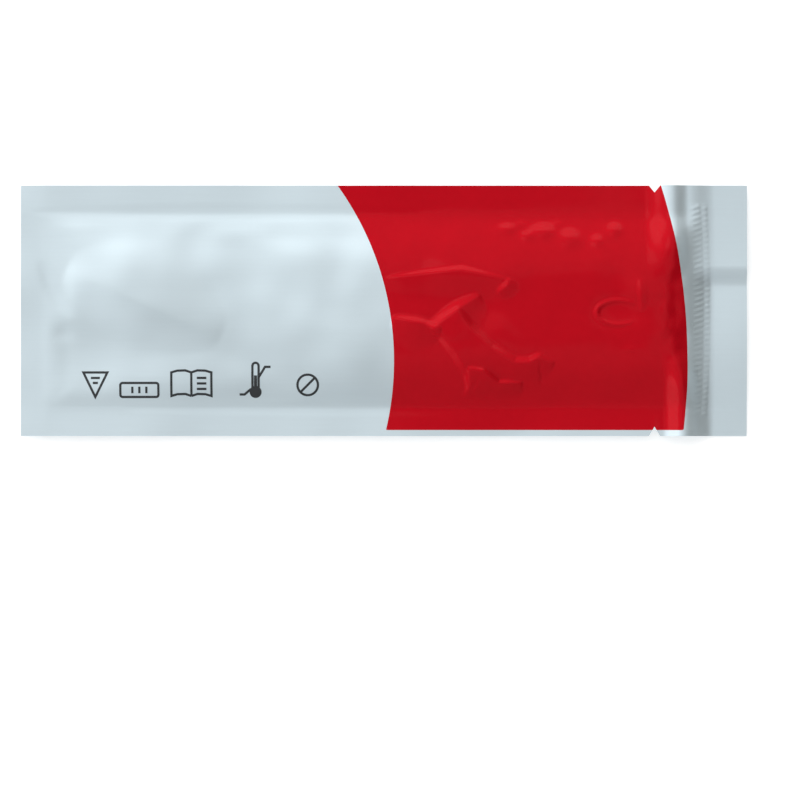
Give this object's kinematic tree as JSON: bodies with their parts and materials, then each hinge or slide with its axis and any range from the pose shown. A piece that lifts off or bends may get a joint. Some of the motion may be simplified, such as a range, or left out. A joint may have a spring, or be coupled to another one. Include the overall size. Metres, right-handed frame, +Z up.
{
  "type": "sealed foil pouch",
  "caption": "Long flat foil pouch, heat-sealed on all sides around a test cassette, with a ribbed seal across its mouth and tear notches in its long edges.",
  "frame": {"origin": "on the surface that the pouch lies on, under the middle of its outline", "axes": "+X along the pouch towards its ribbed mouth end, +Y across it, +Z up out of its printed face"},
  "size_m": [0.145, 0.05, 0.0055],
  "materials": {
    "foil": "satin aluminium foil laminate, printed in part with glossy red ink"
  },
  "bodies": {
    "root": {"foil_pouch": "foil"}
  },
  "joints": []
}
